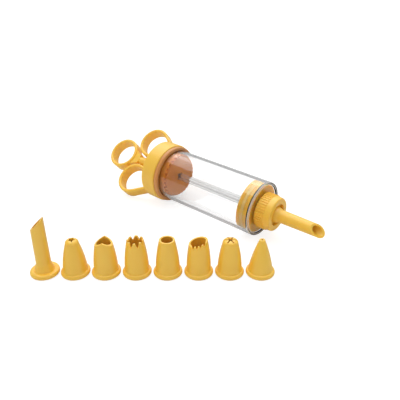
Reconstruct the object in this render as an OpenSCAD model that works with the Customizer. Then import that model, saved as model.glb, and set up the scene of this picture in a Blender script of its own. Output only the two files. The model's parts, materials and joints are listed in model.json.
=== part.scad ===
// Pastry syringe with a clear barrel, a ring-grip cap, a plunger, a screw-on nozzle and loose tips.
// The syringe lies on a flat surface at z = 0, on its grip cap, its front rim and one finger loop.

/* [Barrel] */
// Outside diameter of the clear barrel
barrel_d = 50; // [46:0.5:54]
// Wall thickness of the barrel
barrel_wall = 2.5; // [2:0.1:3]
// Length of barrel in front of the grip cap
barrel_l = 108; // [95:1:130]
// Thickness of the barrel's closed front wall
front_wall = 2.8; // [2.4:0.1:4]
// Length of the collar ring along the barrel
collar_l = 3.5; // [2.5:0.25:5]
// Step from the grip cap's outside down to the collar ring
collar_step = 1; // [0.6:0.1:1.5]
// Rounding of the front rim
rim_round = 1; // [0.6:0.1:1.6]
// Outside diameter of the threaded spout
spout_d = 26; // [25:0.25:27]
// Diameter of the passage through the spout
spout_bore_d = 16; // [13:0.5:18]

/* [Bayonet] */
// Number of lugs round the barrel's neck
lug_count = 3; // [2:1:3]
// Height of a lug, as a share of the grip cap's wall
lug_share = 0.43; // [0.3:0.01:0.5]
// Length of a lug along the barrel
lug_l = 3; // [2:0.25:4]
// Angle that a lug covers
lug_angle = 22; // [14:1:26]
// Turn that frees the grip cap
bayonet_turn = 60; // [45:1:64]

/* [Grip cap] */
// Thickness of the grip cap's wall round the barrel
cap_wall = 3.7; // [3.2:0.1:6]
// Length of the grip cap
cap_l = 16.5; // [15:0.5:20]
// Thickness of the cap's rear wall
cap_back = 3.2; // [2.5:0.1:4]
// Rounding of the cap's edges
cap_round = 1.4; // [0.6:0.1:2]

/* [Finger and thumb rings] */
// Outside diameter of a ring
ring_d = 33; // [31:0.5:35]
// Radial thickness of a ring
ring_wall = 3.2; // [2.4:0.1:3.6]
// Width of a ring's band
ring_w = 12; // [9:0.25:13]
// Distance from the syringe's axis to a finger ring's centre
ring_offset = 22; // [21.5:0.25:23]
// Distance from the cap's rear face to a finger ring's centre
ring_back = 23; // [21.5:0.25:25]
// Distance from a finger ring's centre to the thumb ring's centre, along the axis
thumb_back = 29.5; // [28.5:0.5:36]
// Rounding along the edges of the rings
ring_round = 1.4; // [0.6:0.1:1.5]
// Length of the flare between the thumb ring and its stem
flare_l = 6.5; // [4:0.5:8]

/* [Plunger] */
// Width of the cross-shaped rod
rod_w = 6.8; // [6:0.1:7]
// Thickness of a web of the rod
rod_t = 2.2; // [1.8:0.1:2.6]
// Diameter of the thumb ring's stem
stem_d = 9; // [8.6:0.1:9.4]
// Depth of the rod's seat in the stem
stem_seat = 22; // [12:1:28]
// Length of the piston
piston_l = 10; // [8:0.25:13]
// Length of the piston's rear boss
boss_l = 5; // [3:0.5:8]
// Thickness of the piston's skirt
piston_wall = 3; // [2.4:0.1:4]
// Diameter of the piston's rear boss
boss_d = 13; // [11:0.5:15]
// Width of the seal's groove
groove_w = 3.2; // [2.6:0.1:3.6]
// Depth of the seal's groove
groove_h = 2.4; // [2:0.1:3]
// Gap round the rod's guide bush in the barrel's bore
bush_gap = 1; // [0.5:0.1:3]
// Wall thickness of the guide bush
bush_wall = 2.6; // [2:0.1:3.4]
// How far the guide bush reaches into the barrel in front of the cap
bush_reach = 10; // [6:0.5:20]
// Number of notches round the bush's front edge
notch_count = 30; // [18:1:36]
// Depth of a notch in the bush's front edge
notch_h = 1.6; // [0.8:0.1:2.4]
// Diameter of the bush's spigot through the cap's rear wall
spigot_d = 13; // [11:0.5:14]

/* [Nozzle nut] */
// Diameter of the nut's ribs
nut_d = 33; // [32.5:0.25:36]
// Diameter of the nut's front end
nut_front_d = 30.6; // [30.4:0.2:32]
// Height of a rib on the nut
rib_h = 0.9; // [0.5:0.05:1.1]
// Number of ribs round the nut
rib_count = 44; // [36:1:52]
// Length of the ribs
rib_l = 9; // [7:0.5:10]
// Length of the nut in front of the barrel
nut_l = 15; // [14:0.5:18]
// Thickness of the nut's front wall
nut_wall = 2.6; // [2:0.1:3]
// Diameter of the nut's front opening
nut_hole_d = 20; // [19.6:0.1:20.8]

/* [Tips] */
// Diameter of a tip's flange
flange_d = 23; // [22.5:0.1:24]
// Thickness of a tip's flange
flange_t = 4.2; // [3.6:0.1:4.6]
// Diameter of a tip's body just above the flange
shank_d = 19.2; // [17.8:0.1:19.4]
// Diameter of a filling tip's body just above the flange
filler_shank_d = 15.8; // [14.6:0.1:17]
// Wall thickness of a tip
tip_wall = 1.4; // [1.1:0.05:1.6]
// Height of a decorating tip
tip_h = 31; // [28:0.5:34]
// Swell of a decorating tip's side, at mid height
tip_bulge = 0.7; // [0.3:0.1:1]
// Height of a filling tip
filler_h = 50.5; // [42:0.5:56]
// Height of a filling tip's base cone above the flange
filler_cone_h = 6.5; // [5:0.25:8]
// Diameter of a filling tip's tube at its root
tube_root_d = 11.6; // [10.8:0.1:12.4]
// Diameter of a filling tip's tube at its end
tube_end_d = 10.6; // [9.6:0.1:10.8]
// Angle between a filling tip's end cut and its axis
bevel_angle = 44; // [35:1:60]

/* [Layout] */
// Distance between neighbours in the row of loose tips
tip_pitch = 24.4; // [24.1:0.1:28]
// Angle between the row and the syringe
row_angle = 39.5; // [36:0.5:44]
// Place of the row's middle along the syringe, from the cap's front edge
row_x = 74; // [68:1:82]
// Distance from the syringe's axis to the row's middle
row_y = 106; // [100:1:125]

/* [Clearances] */
// Running gap between parts that move on each other
gap = 0.3; // [0.2:0.05:0.4]
// Gap round a part that is pushed into its seat
seat_gap = 0.05; // [0.03:0.01:0.1]
// Gap between the piston's seal and the barrel
seal_gap = 0.05; // [0.03:0.01:0.08]
// Gap between the lower finger loop and the surface
loop_gap = 0.3; // [0.2:0.05:0.5]

/* [Hidden] */
$fn = 96;
arc_steps = 5;
barrel_r = barrel_d / 2;
bore_r = barrel_r - barrel_wall;
cap_bore_r = barrel_r + gap;
cap_r = cap_bore_r + cap_wall;
collar_r = cap_r - collar_step;
lug_h = cap_wall * lug_share;
cap_floor = cap_l - cap_back;
neck_l = cap_floor - gap;
lug_mid = neck_l / 2;
ring_r = ring_d / 2;
hole_r = ring_r - ring_wall;
ring_x = -(cap_l + ring_back);
thumb_x = ring_x - thumb_back;
stem_end = -(cap_l + gap);
nut_r = nut_d / 2;
spout_l = nut_l - nut_wall - flange_t - 2 * gap;
flange_x = barrel_l + spout_l + gap;
piston_front = barrel_l - front_wall - gap;
piston_rear = piston_front - piston_l;
piston_r = bore_r - gap;
groove_r = piston_r - groove_h;
boss_rear = piston_rear - boss_l;
rod_front = piston_front - piston_l / 2;
rod_rear = stem_end - stem_seat;
plunger_stroke = boss_rear - bush_reach - gap;

// The resting pose: the tilt lays the rim down, the roll lays a finger loop down.
rest_span = barrel_l - rim_round + gap + cap_round;
lay_tilt = atan((cap_r - barrel_r) / rest_span);
lay_height = cap_r * cos(lay_tilt) - (gap + cap_round) * sin(lay_tilt);
loop_reach = ring_offset + ring_r;
loop_half = ring_w / 2;
ring_mid_r = (ring_r + hole_r) / 2;
loop_drop = lay_height / cos(lay_tilt) - ring_x * tan(lay_tilt) - loop_gap;
grip_roll = asin(loop_drop / norm([loop_reach, loop_half])) - atan(loop_half / loop_reach);

// The box round everything, whose middle is the origin.
box_x = [thumb_x - ring_r, flange_x + filler_h] * cos(lay_tilt);
row_half = 3.5 * tip_pitch;
box_y = [-row_y - row_half * sin(row_angle) - flange_d / 2,
    max(cap_r, loop_reach * cos(grip_roll) + loop_half * sin(grip_roll))];
origin = [box_x[0] + box_x[1], box_y[0] + box_y[1]] / 2;

yellow = [0.96, 0.74, 0.27];
amber = [0.76, 0.45, 0.16];
clear = [0.86, 0.90, 0.92, 0.35];
silicone = [0.92, 0.76, 0.45];

// Points of an arc round a centre, from one angle to another.
function arc(c, r, from, to) =
    [for (i = [0:arc_steps]) let (a = from + (to - from) * i / arc_steps) c + r * [cos(a), sin(a)]];

// Puts the syringe, drawn along +X, into its resting pose.
module lay() {
    translate([-origin[0], -origin[1], lay_height])
        rotate([0, lay_tilt, 0])
            children();
}

// Turns a part with its finger and thumb rings into the resting roll.
module roll() {
    rotate([grip_roll, 0, 0])
        children();
}

// Revolves an outline of [radius, place] points round the syringe's axis.
module turned(outline, from = 0, angle = 360) {
    rotate([0, 90, 0])
        rotate([0, 0, from])
            rotate_extrude(angle = angle)
                polygon(outline);
}

// A plain stretch of tube between two radii and two places.
function band(r0, r1, x0, x1) = [[r0, x0], [r1, x0], [r1, x1], [r0, x1]];

// The cross-shaped section of the rod, with room round it.
module rod_section(room = 0) {
    square([rod_w + 2 * room, rod_t + 2 * room], center = true);
    square([rod_t + 2 * room, rod_w + 2 * room], center = true);
}

module rod_along(x0, x1, room = 0) {
    translate([x0, 0, 0])
        rotate([0, 90, 0])
            linear_extrude(x1 - x0)
                rod_section(room);
}

module barrel() {
    tube = concat(
        [[bore_r, -neck_l], [barrel_r, -neck_l]],
        arc([barrel_r - rim_round, barrel_l - rim_round], rim_round, 0, 90),
        [[spout_d / 2, barrel_l], [spout_d / 2, barrel_l + spout_l],
            [spout_bore_d / 2, barrel_l + spout_l], [spout_bore_d / 2, barrel_l - front_wall],
            [bore_r, barrel_l - front_wall]]);
    lug = band(barrel_r - barrel_wall / 2, barrel_r + lug_h, -lug_mid - lug_l / 2, -lug_mid + lug_l / 2);
    color(clear) lay() {
        turned(tube);
        for (i = [0:lug_count - 1])
            turned(lug, from = i * 360 / lug_count, angle = lug_angle);
    }
}

// The ring round the barrel that the grip cap closes against, with a rounded front edge.
module collar_ring() {
    seat_r = barrel_r + seat_gap;
    edge = (collar_r - seat_r) / 2;
    color(amber) lay()
        turned(concat(
            [[seat_r, 0], [collar_r, 0]],
            arc([collar_r - edge, collar_l - edge], edge, 0, 90),
            [[seat_r, collar_l]]));
}

// One lug's way through the cap: in at the front edge, then round to its locked end.
module bayonet_channel() {
    room = asin(gap / barrel_r);
    outer = barrel_r + lug_h + gap;
    inner = cap_bore_r - barrel_wall / 2;
    rear = -lug_mid - lug_l / 2 - gap;
    turned(band(inner, outer, rear, -lug_mid + lug_l / 2 + gap), from = -room,
        angle = bayonet_turn + lug_angle / 2 + room);
    turned(band(inner, outer + gap / 2, rear - gap / 2, gap), from = bayonet_turn - room,
        angle = lug_angle + 2 * room);
}

// The rings' section, as [radius, height] points with rounded edges.
function ring_section(inset = 0) =
    let (e = ring_round, out = ring_r - inset - e, in = hole_r + inset + e, top = loop_half - inset - e)
    concat(arc([out, top], e, 0, 90), arc([in, top], e, 90, 180),
        arc([in, -top], e, 180, 270), arc([out, -top], e, 270, 360));

// Angle at which a line from a foot meets a ring round the origin smoothly, on its left or right side.
function meet_angle(foot, side) =
    atan2(foot[1], foot[0]) + side * acos(ring_mid_r / norm(foot));

// A straight leg of the rings' section, from a ring's end to its foot in the cap's rear wall.
module loop_leg(foot, side) {
    angle = meet_angle(foot, side);
    leg_l = sqrt(foot * foot - ring_mid_r * ring_mid_r);
    lap = ring_wall / 2;
    rotate([0, 0, angle])
        translate([0, side < 0 ? leg_l : lap, 0])
            rotate([90, 0, 0])
                linear_extrude(leg_l + lap)
                    polygon(ring_section(gap / 2));
}

// A finger loop: most of a ring, with two legs that run from its ends into the cap's rear wall.
module finger_loop() {
    root = cap_back / 2 - cap_l - ring_x;
    outer_foot = [root, cap_r - cap_round - ring_wall - ring_offset];
    inner_foot = [root, spigot_d / 2 + 2 * gap + ring_wall / 2 - ring_offset];
    from = meet_angle(outer_foot, 1);
    to = meet_angle(inner_foot, -1) + 360;
    translate([ring_x, ring_offset, 0]) {
        rotate([0, 0, from])
            rotate_extrude(angle = to - from)
                polygon(ring_section());
        loop_leg(outer_foot, 1);
        loop_leg(inner_foot, -1);
    }
}

module grip_cap() {
    drum = concat(
        [[spigot_d / 2 + seat_gap, -cap_floor], [cap_bore_r, -cap_floor], [cap_bore_r, -gap]],
        arc([cap_r - cap_round, -gap - cap_round], cap_round, 90, 0),
        arc([cap_r - cap_round, -cap_l + cap_round], cap_round, 0, -90),
        [[spigot_d / 2 + seat_gap, -cap_l]]);
    color(yellow) lay() roll() {
        difference() {
            turned(drum);
            for (i = [0:lug_count - 1])
                rotate([i * 360 / lug_count - grip_roll, 0, 0])
                    bayonet_channel();
        }
        finger_loop();
        mirror([0, 1, 0]) finger_loop();
    }
}

// The bush that guides the rod: a cup with its open end on the cap's rear wall, and a sleeve whose
// end sits in that wall.
module guide_bush() {
    bush_r = bore_r - bush_gap;
    hollow_r = bush_r - bush_wall;
    hollow_end = bush_reach - bush_wall;
    seat = -cap_floor + seat_gap;
    body = concat(
        [[0, -cap_l], [spigot_d / 2, -cap_l], [spigot_d / 2, hollow_end], [hollow_r, hollow_end],
            [hollow_r, seat], [bush_r, seat]],
        arc([bush_r - cap_round, bush_reach - cap_round], cap_round, 0, 90),
        [[0, bush_reach]]);
    notch_w = PI * bush_r / notch_count;
    color(amber) lay() roll()
        difference() {
            turned(body);
            rod_along(-cap_l - gap, bush_reach + gap, gap);
            for (i = [0:notch_count - 1])
                rotate([i * 360 / notch_count, 0, 0])
                    translate([bush_reach - notch_h, -notch_w / 2, bush_r - notch_h])
                        cube([2 * notch_h, notch_w, 2 * notch_h]);
        }
}

module plunger_rod() {
    color(clear) lay() roll()
        rod_along(rod_rear, rod_front);
}

// The thumb ring, with a flare that runs into the stem and a seat for the rod in the stem's front end.
module thumb_ring() {
    flare_angle = 42;
    flare_end = thumb_x + ring_r + flare_l;
    flare = concat(
        arc([thumb_x, 0], ring_mid_r, -flare_angle, flare_angle),
        [[flare_end, stem_d / 2], [flare_end, -stem_d / 2]]);
    stem = band(0, stem_d / 2, thumb_x + ring_mid_r, stem_end);
    color(yellow) lay() roll()
        difference() {
            union() {
                translate([thumb_x, 0, 0])
                    rotate_extrude()
                        polygon(ring_section());
                translate([0, 0, ring_round - loop_half])
                    linear_extrude(ring_w - 2 * ring_round)
                        polygon(flare);
                turned(stem);
            }
            rod_along(rod_rear - seat_gap, stem_end + gap, seat_gap);
        }
}

module piston() {
    mid = (piston_front + piston_rear) / 2;
    body = [[0, boss_rear], [boss_d / 2, boss_rear], [boss_d / 2, mid - groove_w / 2 - gap],
        [groove_r - piston_wall, mid - groove_w / 2 - gap], [piston_r - piston_wall, piston_rear],
        [piston_r, piston_rear], [piston_r, mid - groove_w / 2], [groove_r, mid - groove_w / 2],
        [groove_r, mid + groove_w / 2], [piston_r, mid + groove_w / 2], [piston_r, piston_front],
        [0, piston_front]];
    color(yellow) lay() roll()
        difference() {
            turned(body);
            rod_along(boss_rear - gap, rod_front + seat_gap, seat_gap);
        }
}

// The soft ring in the piston's groove, with two sealing lips.
module piston_seal() {
    mid = (piston_front + piston_rear) / 2;
    half = groove_w / 2 - seat_gap;
    lip_r = bore_r - seal_gap;
    waist_r = lip_r - groove_h / 3;
    ring = [[groove_r + seat_gap, mid - half], [waist_r, mid - half], [lip_r, mid - half * 0.75],
        [lip_r, mid - half * 0.45], [waist_r, mid], [lip_r, mid + half * 0.45],
        [lip_r, mid + half * 0.75], [waist_r, mid + half], [groove_r + seat_gap, mid + half]];
    color(silicone) lay() roll()
        turned(ring);
}

// One rib of the nut's grip, as a narrow wedge.
module nut_rib() {
    foot = PI * nut_d / rib_count * 0.32;
    rotate([0, 90, 0])
        linear_extrude(rib_l - 2 * gap)
            polygon([[nut_r - 2 * rib_h, -foot], [nut_r - rib_h / 4, -foot / 2],
                [nut_r - rib_h / 4, foot / 2], [nut_r - 2 * rib_h, foot]]);
}

module coupler_nut() {
    x0 = barrel_l + gap;
    x1 = barrel_l + nut_l;
    thread_r = spout_d / 2 + gap;
    skirt_r = nut_r - rib_h;
    front_r = nut_front_d / 2;
    body = concat(
        [[thread_r, x0], [skirt_r, x0], [skirt_r, x0 + rib_l]],
        arc([front_r - cap_round, x1 - cap_round], cap_round, 0, 90),
        [[nut_hole_d / 2, x1], [nut_hole_d / 2, x1 - nut_wall], [thread_r, x1 - nut_wall]]);
    color(yellow) lay() {
        turned(body);
        for (i = [0:rib_count - 1])
            translate([x0 + gap, 0, 0])
                rotate([i * 360 / rib_count, 0, 0])
                    nut_rib();
    }
}

// The flange at a tip's wide end, with rounded edges, up to the foot of its body.
function flange_outline(foot_r) =
    let (e = flange_t * 0.45)
    concat(
        arc([flange_d / 2 - e, e], e, -90, 0),
        arc([flange_d / 2 - e, flange_t - e], e, 0, 90),
        [[foot_r, flange_t]]);

// A filling tip, standing on its flange: base cone, long tube and slanting end.
module filler_body() {
    root_r = tube_root_d / 2;
    end_r = tube_end_d / 2;
    cone_top = flange_t + filler_cone_h;
    sweep = filler_cone_h * 0.6;
    outline = concat(
        [[filler_shank_d / 2 - tip_wall, 0]],
        flange_outline(filler_shank_d / 2),
        arc([root_r + sweep, cone_top], sweep, 215, 180),
        [[end_r, filler_h], [end_r - tip_wall, filler_h], [root_r - tip_wall, cone_top]]);
    difference() {
        rotate_extrude() polygon(outline);
        translate([end_r, 0, filler_h])
            rotate([0, -bevel_angle, 0])
                translate([-2 * filler_h, -tube_root_d, 0])
                    cube([2 * filler_h, 2 * tube_root_d, filler_h]);
    }
}

module filler_nozzle() {
    bevel_turn = 35;
    color(yellow) lay()
        translate([flange_x, 0, 0])
            rotate([0, 90, 0])
                rotate([0, 0, bevel_turn])
                    filler_body();
}

// Puts the tip of that number in its place in the row.
module in_row(i) {
    along = (i - 3.5) * tip_pitch;
    translate([row_x - origin[0] + along * cos(row_angle), -row_y - origin[1] + along * sin(row_angle), 0])
        rotate([0, 0, row_angle])
            children();
}

// Points along a decorating tip's side, between two shares of its height, with an inset for the inside.
function tip_side(top_r, top_z, inset, from, to) =
    let (foot_r = shank_d / 2, foot_z = flange_t + tip_wall / 2)
    [for (i = [0:arc_steps]) let (t = from + (to - from) * i / arc_steps)
        [foot_r + (top_r - foot_r) * t + 4 * tip_bulge * t * (1 - t) - inset,
            foot_z + (top_z - foot_z) * t]];

// A hollow decorating tip, standing on its flange, with an open end or a domed crown.
module tip_body(top_d, outlet_d = 0, crown = 0) {
    top_r = top_d / 2;
    foot_r = shank_d / 2;
    outlet_r = outlet_d / 2;
    roof = crown > 0 ? crown + tip_wall : 0;
    outline = concat(
        [[foot_r - tip_wall, 0]],
        flange_outline(foot_r + tip_wall / 4),
        tip_side(top_r, tip_h - crown, 0, 0, 1),
        crown > 0 ? arc([top_r - crown, tip_h - crown], crown, 90 / arc_steps, 90) : [],
        crown > 0 ? [[outlet_r, tip_h], [outlet_r, tip_h - tip_wall]] : [],
        tip_side(top_r, tip_h - roof, tip_wall, 1, 0));
    rotate_extrude() polygon(outline);
}

// A wedge-shaped cut across a tip's end, from its middle outwards.
module end_notch(width, depth, reach) {
    half = width / 2;
    rotate([90, 0, 90])
        linear_extrude(reach)
            polygon([[-half, tip_wall], [half, tip_wall], [half, 0], [0, -depth], [-half, 0]]);
}

// A pointed star, as a section.
module star(points, outer_r, inner_r) {
    polygon([for (i = [0:2 * points - 1]) let (r = i % 2 == 0 ? outer_r : inner_r, a = 180 * i / points)
        r * [cos(a), sin(a)]]);
}

module loose_filler_tip() {
    color(yellow) in_row(0) filler_body();
}

module star_tip() {
    top_d = 10.6;
    crown = 3;
    depth = crown + 2 * tip_wall;
    color(yellow) in_row(1)
        difference() {
            tip_body(top_d, top_d / 4, crown);
            translate([0, 0, tip_h - depth])
                linear_extrude(depth + gap)
                    star(5, top_d * 0.34, top_d * 0.15);
        }
}

// The open end is cut to a ridge by two slopes.
module leaf_tip() {
    top_d = 12.4;
    lean = 30;
    color(yellow) in_row(2)
        difference() {
            tip_body(top_d);
            for (side = [-1, 1])
                translate([0, 0, tip_h])
                    rotate([0, side * lean, 0])
                        translate([side > 0 ? 0 : -2 * top_d, -top_d, 0])
                            cube([2 * top_d, 2 * top_d, top_d]);
        }
}

// The open end is cut into teeth all round.
module open_star_tip() {
    top_d = 13.2;
    teeth = 8;
    tooth_h = 4;
    color(yellow) in_row(3)
        difference() {
            tip_body(top_d);
            for (i = [0:teeth - 1])
                translate([0, 0, tip_h])
                    rotate([0, 0, (i + 0.5) * 360 / teeth])
                        end_notch(PI * top_d / teeth * 0.6, tooth_h, top_d);
        }
}

module round_tip() {
    top_d = 12.2;
    color(yellow) in_row(4) tip_body(top_d);
}

// The open end slants, and its low side has a row of teeth.
module ribbon_tip() {
    top_d = 14;
    slant = 15;
    teeth = 4;
    tooth_w = top_d / (teeth + 1);
    color(yellow) in_row(5)
        difference() {
            tip_body(top_d);
            translate([top_d / 2, 0, tip_h])
                rotate([0, -slant, 0])
                    translate([-2 * top_d, -top_d, 0])
                        cube([4 * top_d, 2 * top_d, top_d]);
            for (i = [0:teeth - 1]) {
                side = (i + 0.5 - teeth / 2) * tooth_w;
                translate([side, -top_d, tip_h - (top_d / 2 - side) * tan(slant)])
                    rotate([0, 0, 90])
                        end_notch(tooth_w * 0.7, tooth_w * 0.8, top_d);
            }
        }
}

// The domed end has narrow slots round its middle.
module flower_tip() {
    top_d = 12.4;
    slots = 6;
    slot_w = 1.1;
    crown = 3;
    depth = crown + 2 * tip_wall;
    color(yellow) in_row(6)
        difference() {
            tip_body(top_d, top_d / 4, crown);
            for (i = [0:slots - 1])
                translate([0, 0, tip_h - depth])
                    rotate([0, 0, i * 360 / slots])
                        translate([0, -slot_w / 2, 0])
                            cube([top_d * 0.38, slot_w, depth + gap]);
        }
}

module writing_tip() {
    top_d = 4.4;
    color(yellow) in_row(7) tip_body(top_d);
}

barrel();
collar_ring();
grip_cap();
guide_bush();
plunger_rod();
thumb_ring();
piston();
piston_seal();
coupler_nut();
filler_nozzle();
loose_filler_tip();
star_tip();
leaf_tip();
open_star_tip();
round_tip();
ribbon_tip();
flower_tip();
writing_tip();
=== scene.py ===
import json
import math

import bmesh
import bpy
from mathutils import Matrix, Vector


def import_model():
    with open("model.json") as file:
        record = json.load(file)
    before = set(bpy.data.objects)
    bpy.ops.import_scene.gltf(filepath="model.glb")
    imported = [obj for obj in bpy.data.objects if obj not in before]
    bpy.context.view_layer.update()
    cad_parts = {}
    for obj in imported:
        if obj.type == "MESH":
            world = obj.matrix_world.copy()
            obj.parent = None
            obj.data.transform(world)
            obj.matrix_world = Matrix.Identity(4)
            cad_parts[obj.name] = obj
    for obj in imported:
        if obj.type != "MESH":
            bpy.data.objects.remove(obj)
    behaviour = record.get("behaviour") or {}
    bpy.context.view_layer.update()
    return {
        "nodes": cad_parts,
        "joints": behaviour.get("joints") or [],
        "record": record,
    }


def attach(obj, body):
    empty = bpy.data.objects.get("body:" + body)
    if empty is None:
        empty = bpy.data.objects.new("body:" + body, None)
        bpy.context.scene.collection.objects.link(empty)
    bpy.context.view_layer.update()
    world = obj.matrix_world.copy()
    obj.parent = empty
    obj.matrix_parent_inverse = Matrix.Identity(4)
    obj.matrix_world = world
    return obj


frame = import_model()
nodes = frame["nodes"]

# The syringe's own frame, from the joint at the cap's front edge.
# Its X runs along the barrel to the nozzle.
twist = next(j for j in frame["joints"] if j["name"] == "cap_twist")
CAP_EDGE = Vector(twist["pos_m"])
ALONG = -Vector(twist["axis"])
TURNED = Vector((1, 0, 0)).rotation_difference(ALONG).to_matrix().to_4x4()
SYRINGE = Matrix.Translation(CAP_EDGE) @ TURNED

# The barrel's front and the two threads, in metres.
# Places along the barrel start at the cap's front edge.
BARREL_RADIUS = 0.025
RIM_INNER_RADIUS = 0.0236
FRONT_FROM, FRONT_TO = 0.104, 0.109
SPOUT_RADIUS = 0.0130
NUT_BORE_RADIUS = 0.0133
THREAD_START = 0.1095
THREAD_PITCH = 0.003
THREAD_HEIGHT = 0.0002
THREAD_SINK = 0.0002
THREAD_CREST_HALF = 0.0002
THREAD_ROOT_HALF = 0.0009
THREAD_STEPS = 72
THREAD_FADE_STEPS = 18

SHARP_ANGLE = math.radians(32)
PHOTO_PIXELS = 400
WHITE = (1, 1, 1, 1)


def node_tools(tree):
    """Two helpers for a node tree: one adds a node with its values, one links two sockets."""
    def add(kind, **values):
        node = tree.nodes.new(kind)
        for key, value in values.items():
            if key in node.inputs:
                node.inputs[key].default_value = value
            else:
                setattr(node, key, value)
        return node

    return add, tree.links.new


def material(name):
    """A new node material, its Principled shader and the two helpers for its nodes."""
    mat = bpy.data.materials.new(name)
    mat.use_nodes = True
    add, link = node_tools(mat.node_tree)
    return mat, mat.node_tree.nodes["Principled BSDF"], add, link


def maths(add, link, operation, *values):
    """A Math node over sockets and plain numbers."""
    node = add("ShaderNodeMath", operation=operation)
    for socket, value in zip(node.inputs, values):
        if isinstance(value, bpy.types.NodeSocket):
            link(value, socket)
        else:
            socket.default_value = value
    return node.outputs[0]


def spread(add, link, fac, low, high, start=0.0, end=1.0):
    """Maps fac from start..end to low..high, and holds it there outside."""
    node = add("ShaderNodeMapRange")
    for name, value in (("From Min", start), ("From Max", end), ("To Min", low), ("To Max", high)):
        node.inputs[name].default_value = value
    link(fac, node.inputs["Value"])
    return node.outputs["Result"]


def ramp(add, link, fac, stops):
    """A colour ramp over fac, from (place, colour) stops."""
    node = add("ShaderNodeValToRGB")
    elements = node.color_ramp.elements
    while len(elements) < len(stops):
        elements.new(0.5)
    for element, (place, colour) in zip(elements, stops):
        element.position = place
        element.color = (*colour, 1.0)
    link(fac, node.inputs["Fac"])
    return node.outputs["Color"]


def object_noise(add, link, scale, detail=3.0):
    """Noise in the object's own metres, so that it stays on the piece when the piece moves."""
    coords = add("ShaderNodeTexCoord")
    noise = add("ShaderNodeTexNoise", Scale=scale, Detail=detail)
    link(coords.outputs["Object"], noise.inputs["Vector"])
    return noise.outputs["Fac"]


def cloudy(add, link, scale, detail, dark, light):
    """Two near colours that drift into each other over the piece."""
    return ramp(add, link, object_noise(add, link, scale, detail), [(0.3, dark), (0.7, light)])


def moulded_plastic(name, dark, light, rough, subsurface, glow, shine):
    """Moulded plastic in the given colour, which for some pieces is painted shade: cloudy colour, a
    finely grained skin and a little light inside it.
    """
    mat, shader, add, link = material(name)
    link(cloudy(add, link, 55.0, 4.0, dark, light), shader.inputs["Base Color"])
    link(spread(add, link, object_noise(add, link, 240.0), *rough), shader.inputs["Roughness"])
    shader.inputs["Subsurface Weight"].default_value = subsurface
    shader.inputs["Subsurface Radius"].default_value = glow
    shader.inputs["Subsurface Scale"].default_value = 0.002
    shader.inputs["IOR"].default_value = 1.6
    shader.inputs["Specular IOR Level"].default_value = shine
    bump = add("ShaderNodeBump", Strength=0.05, Distance=0.0001)
    link(object_noise(add, link, 2600.0), bump.inputs["Height"])
    link(bump.outputs["Normal"], shader.inputs["Normal"])
    return mat


def haze(add, link, shader, stops):
    """Clearness by distance from the barrel's axis, from (part of its radius, clearness) stops."""
    coords = add("ShaderNodeTexCoord")
    place = add("ShaderNodeVectorMath", operation="SUBTRACT")
    place.inputs[1].default_value = CAP_EDGE
    link(coords.outputs["Object"], place.inputs[0])
    across = add("ShaderNodeVectorMath", operation="CROSS_PRODUCT")
    across.inputs[1].default_value = ALONG / BARREL_RADIUS
    link(place.outputs["Vector"], across.inputs[0])
    radius = add("ShaderNodeVectorMath", operation="LENGTH")
    link(across.outputs["Vector"], radius.inputs[0])
    greys = [(part, (clear, clear, clear)) for part, clear in stops]
    link(ramp(add, link, radius.outputs["Value"], greys), shader.inputs["Transmission Weight"])


def clear_plastic(name, ior, tint, clear=1.0, rim=None):
    """Polished clear plastic that lets lamp light through to what is inside. clear < 1 is milky."""
    mat, shader, add, link = material(name)
    pale = tint + 0.02
    colour = cloudy(add, link, 40.0, 3.0, (tint, tint, tint), (pale, pale, pale))
    link(colour, shader.inputs["Base Color"])
    link(spread(add, link, object_noise(add, link, 300.0), 0.0, 0.03), shader.inputs["Roughness"])
    shader.inputs["Transmission Weight"].default_value = clear
    shader.inputs["IOR"].default_value = ior
    if rim:
        haze(add, link, shader, rim)
    path = add("ShaderNodeLightPath")
    link(spread(add, link, path.outputs["Is Shadow Ray"], 1.0, 0.03), shader.inputs["Alpha"])
    return mat


YELLOW = moulded_plastic("yellow_plastic", dark=(0.95, 0.57, 0.056), light=(0.96, 0.585, 0.064),
                         rough=(0.30, 0.40), subsurface=0.15, glow=(1.0, 0.45, 0.08), shine=0.6)
# The bush's amber-brown is painted shade: the colour of yellow plastic in shade behind the clear
# barrel.
PAINTED_SHADE_AMBER = moulded_plastic("amber_plastic", dark=(0.76, 0.235, 0.012), light=(0.84, 0.285, 0.02),
                        rough=(0.16, 0.26), subsurface=0.15, glow=(1.0, 0.4, 0.1), shine=0.2)
# The collar ring's brown is painted shade: the shaded yellow of the cap's front face as it shows
# through the collar.
COLLAR_PAINTED_SHADE = moulded_plastic("collar_painted_shade", dark=(0.63, 0.28, 0.08), light=(0.70, 0.315, 0.10),
                         rough=(0.20, 0.30), subsurface=0.15, glow=(1.0, 0.4, 0.1), shine=0.35)
SILICONE = moulded_plastic("silicone", dark=(0.95, 0.66, 0.20), light=(0.97, 0.70, 0.25),
                           rough=(0.45, 0.6), subsurface=0.3, glow=(1.0, 0.7, 0.4), shine=0.5)
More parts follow.
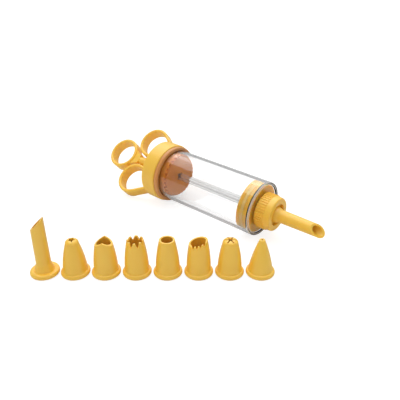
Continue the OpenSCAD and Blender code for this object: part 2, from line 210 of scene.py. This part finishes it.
# The piston's deeper orange is painted shade: a copy of the yellow plastic as it looks in shade
# inside the barrel.
PISTON_PAINTED_SHADE = moulded_plastic("piston_painted_shade", dark=(0.985, 0.50, 0.05), light=(0.99, 0.52, 0.06),
                         rough=(0.30, 0.40), subsurface=0.7, glow=(3.0, 1.0, 0.2), shine=0.2)
CLEAR = clear_plastic("clear_acrylic", ior=1.49, tint=0.98, clear=0.997)
CLEAR_END = clear_plastic("clear_acrylic_end", ior=1.15, tint=0.98,
                          rim=[(0.0, 1.0), (0.89, 1.0), (0.905, 0.5), (0.93, 0.6), (0.965, 0.8)])
CLEAR_RIM = clear_plastic("clear_acrylic_rim", ior=1.49, tint=0.80, clear=0.45)
CLEAR_ROD = clear_plastic("clear_acrylic_rod", ior=1.49, tint=0.80, clear=0.92)
SLOTS = {"yellow_plastic": YELLOW, "amber_plastic": PAINTED_SHADE_AMBER,
         "silicone": SILICONE, "clear_acrylic": CLEAR}
PAINTED_SHADES_AND_MILKY_ROD = {"plunger_rod": CLEAR_ROD, "piston": PISTON_PAINTED_SHADE, "collar_ring": COLLAR_PAINTED_SHADE}


# The CAD pieces: each takes its slot's material, or its own material (the milky rod, and the piston
# and collar ring in painted shade), and smooth shading.
for part in frame["record"]["subparts"]:
    mesh = nodes[part["node"]].data
    mesh.materials.clear()
    mesh.materials.append(PAINTED_SHADES_AND_MILKY_ROD.get(part["node"], SLOTS[part["material_slot"]]))
    mesh.polygons.foreach_set("use_smooth", [True] * len(mesh.polygons))
    mesh.set_sharp_from_angle(angle=SHARP_ANGLE)

# The barrel's flat front wall reflects less than its tube, so that the piston shows behind it,
# and the rounded rim round that wall is a little hazy.
barrel = nodes["barrel"].data
barrel.materials.append(CLEAR_END)
barrel.materials.append(CLEAR_RIM)
WALL_SLOT, RIM_SLOT = 1, 2
FLAT_FACING, ROUND_FACING = 0.98, 0.03
for face in barrel.polygons:
    place = nodes["barrel"].matrix_world @ face.center - CAP_EDGE
    along = place.dot(ALONG)
    if not FRONT_FROM < along < FRONT_TO:
        continue
    facing = abs(face.normal.dot(ALONG))
    if facing > FLAT_FACING:
        face.material_index = WALL_SLOT
    elif facing > ROUND_FACING and (place - along * ALONG).length > RIM_INNER_RADIUS:
        face.material_index = RIM_SLOT


def put(name, data):
    """A new object in the scene."""
    obj = bpy.data.objects.new(name, data)
    bpy.context.scene.collection.objects.link(obj)
    return obj


def thread(name, body, mat, radius, height, turns, phase):
    """A helical ridge round the syringe's axis, as a closed mesh. height < 0 points inwards."""
    root = radius - math.copysign(THREAD_SINK, height)
    bm = bmesh.new()
    rows = []
    for i in range(int(turns * THREAD_STEPS) + 1):
        angle = phase + 2 * math.pi * i / THREAD_STEPS
        fade = min(1.0, i / THREAD_FADE_STEPS, (turns * THREAD_STEPS - i) / THREAD_FADE_STEPS)
        x = THREAD_START + THREAD_PITCH * i / THREAD_STEPS
        crest = radius + height * fade
        section = ((root, -THREAD_ROOT_HALF), (crest, -THREAD_CREST_HALF),
                   (crest, THREAD_CREST_HALF), (root, THREAD_ROOT_HALF))
        rows.append([bm.verts.new((x + dx, r * math.cos(angle), r * math.sin(angle)))
                     for r, dx in section])
    for a, b in zip(rows, rows[1:]):
        for k in range(len(a)):
            n = (k + 1) % len(a)
            bm.faces.new((a[k], b[k], b[n], a[n]))
    bm.faces.new(rows[0])
    bm.faces.new(rows[-1])
    bmesh.ops.recalc_face_normals(bm, faces=bm.faces)
    mesh = bpy.data.meshes.new(name)
    bm.to_mesh(mesh)
    bm.free()
    mesh.polygons.foreach_set("use_smooth", [True] * len(mesh.polygons))
    mesh.materials.append(mat)
    piece = put(name, mesh)
    piece.matrix_world = SYRINGE
    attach(piece, body)
    return piece


thread("spout_thread", "barrel", CLEAR, SPOUT_RADIUS, THREAD_HEIGHT,
               turns=1.6, phase=0.0)
thread("nut_thread", "nut", YELLOW, NUT_BORE_RADIUS, -THREAD_HEIGHT,
               turns=2.2, phase=math.pi)


def seen_background(add, link):
    """1 for the rays that show the background: camera, glossy and transmission, unscattered."""
    path = add("ShaderNodeLightPath")
    shown = path.outputs["Is Camera Ray"]
    for kind in ("Is Glossy Ray", "Is Transmission Ray"):
        shown = maths(add, link, "MAXIMUM", shown, path.outputs[kind])
    unscattered = maths(add, link, "LESS_THAN", path.outputs["Diffuse Depth"], 0.5)
    return maths(add, link, "MULTIPLY", shown, unscattered)


def floor():
    """A wide floor, white to the camera and through the bore, greyer through the barrel's edges."""
    half = 8.0
    mesh = bpy.data.meshes.new("floor")
    mesh.from_pydata([(-half, -half, 0), (half, -half, 0), (half, half, 0), (-half, half, 0)],
                     [], [(0, 1, 2, 3)])
    piece = put("floor", mesh)
    mat, shader, add, link = material("floor_white")
    shader.inputs["Roughness"].default_value = 0.9
    shader.inputs["Specular IOR Level"].default_value = 0.0
    shader.inputs["Emission Color"].default_value = WHITE
    path = add("ShaderNodeLightPath")
    # The shadow shows faintly on a darker base, and the light thrown back is a pale floor's.
    shadow_base, bounce_base = 0.36, 0.80
    base = spread(add, link, path.outputs["Diffuse Depth"], shadow_base, bounce_base)
    link(base, shader.inputs["Base Color"])
    # A ray through the bore passes four surfaces, and one through the wall alone passes two.
    edge_lift, plain_lift = 0.22, 0.80
    through_bore = maths(add, link, "GREATER_THAN", path.outputs["Transmission Depth"], 2.5)
    plain = maths(add, link, "MAXIMUM", path.outputs["Is Camera Ray"], through_bore)
    lift = spread(add, link, plain, edge_lift, plain_lift)
    strength = maths(add, link, "MULTIPLY", seen_background(add, link), lift)
    link(strength, shader.inputs["Emission Strength"])
    mesh.materials.append(mat)


def world():
    """A soft white room, lit from above, in front and the left. Clear edges show its low walls."""
    sky = bpy.data.worlds.new("studio")
    bpy.context.scene.world = sky
    sky.use_nodes = True
    add, link = node_tools(sky.node_tree)
    coords = add("ShaderNodeTexCoord")

    def gradient(towards, start, end, low, high):
        """Brightness that grows from low to high as a direction turns towards the given one."""
        dot = add("ShaderNodeVectorMath", operation="DOT_PRODUCT")
        dot.inputs[1].default_value = towards
        link(coords.outputs["Generated"], dot.inputs[0])
        return spread(add, link, dot.outputs["Value"], low, high, start, end)

    lighting = gradient((-0.35, -0.50, 0.75), start=-0.6, end=0.5, low=0.20, high=0.72)
    walls = gradient((0, 0, 1), start=0.02, end=0.35, low=0.3, high=1.0)
    back_wall = gradient((0, 0.95, 0.3), start=-0.2, end=0.9, low=0.2, high=0.9)
    level = add("ShaderNodeMix")
    link(seen_background(add, link), level.inputs["Factor"])
    link(lighting, level.inputs["A"])
    link(maths(add, link, "MULTIPLY", walls, back_wall), level.inputs["B"])
    to_camera = add("ShaderNodeLightPath").outputs["Is Camera Ray"]
    background = sky.node_tree.nodes["Background"]
    background.inputs["Color"].default_value = WHITE
    strength = maths(add, link, "MAXIMUM", level.outputs["Result"], to_camera)
    link(strength, background.inputs["Strength"])


def lamp(name, kind, energy, place, aim, **values):
    """A lamp at a place, turned to what it aims at."""
    data = bpy.data.lights.new(name, kind)
    data.energy = energy
    for key, value in values.items():
        setattr(data, key, value)
    obj = put(name, data)
    obj.location = place
    obj.rotation_euler = (Vector(aim) - Vector(place)).to_track_quat("-Z", "Y").to_euler()


def camera():
    """The photograph's camera: place, turn, tilt and focal length in the photograph's pixels."""
    place = CAP_EDGE + Vector((0.296400, -0.316395, 0.193716))
    turn = math.radians(39.529)
    down = math.radians(27.379)
    focal_px = 467.256
    data = bpy.data.cameras.new("camera")
    data.sensor_width = 36.0
    data.lens = data.sensor_width * focal_px / PHOTO_PIXELS
    data.clip_start = 0.01
    ahead = Vector((-math.sin(turn) * math.cos(down),
                    math.cos(turn) * math.cos(down), -math.sin(down)))
    right = Vector((math.cos(turn), math.sin(turn), 0))
    up = right.cross(ahead)
    obj = put("camera", data)
    obj.matrix_world = Matrix.Translation(place) @ Matrix((right, up, -ahead)).transposed().to_4x4()
    bpy.context.scene.camera = obj


floor()
world()
lamp("overhead", "SUN", energy=1.5, place=(-0.25, 0.25, 1.2), aim=(0, 0, 0), angle=math.radians(70))
lamp("softbox", "AREA", energy=0.5, place=(-0.35, 0.55, 0.55), aim=(0, 0.05, 0.03),
     shape="RECTANGLE", size=0.7, size_y=0.35)
camera()
bpy.context.scene.view_settings.view_transform = "Standard"
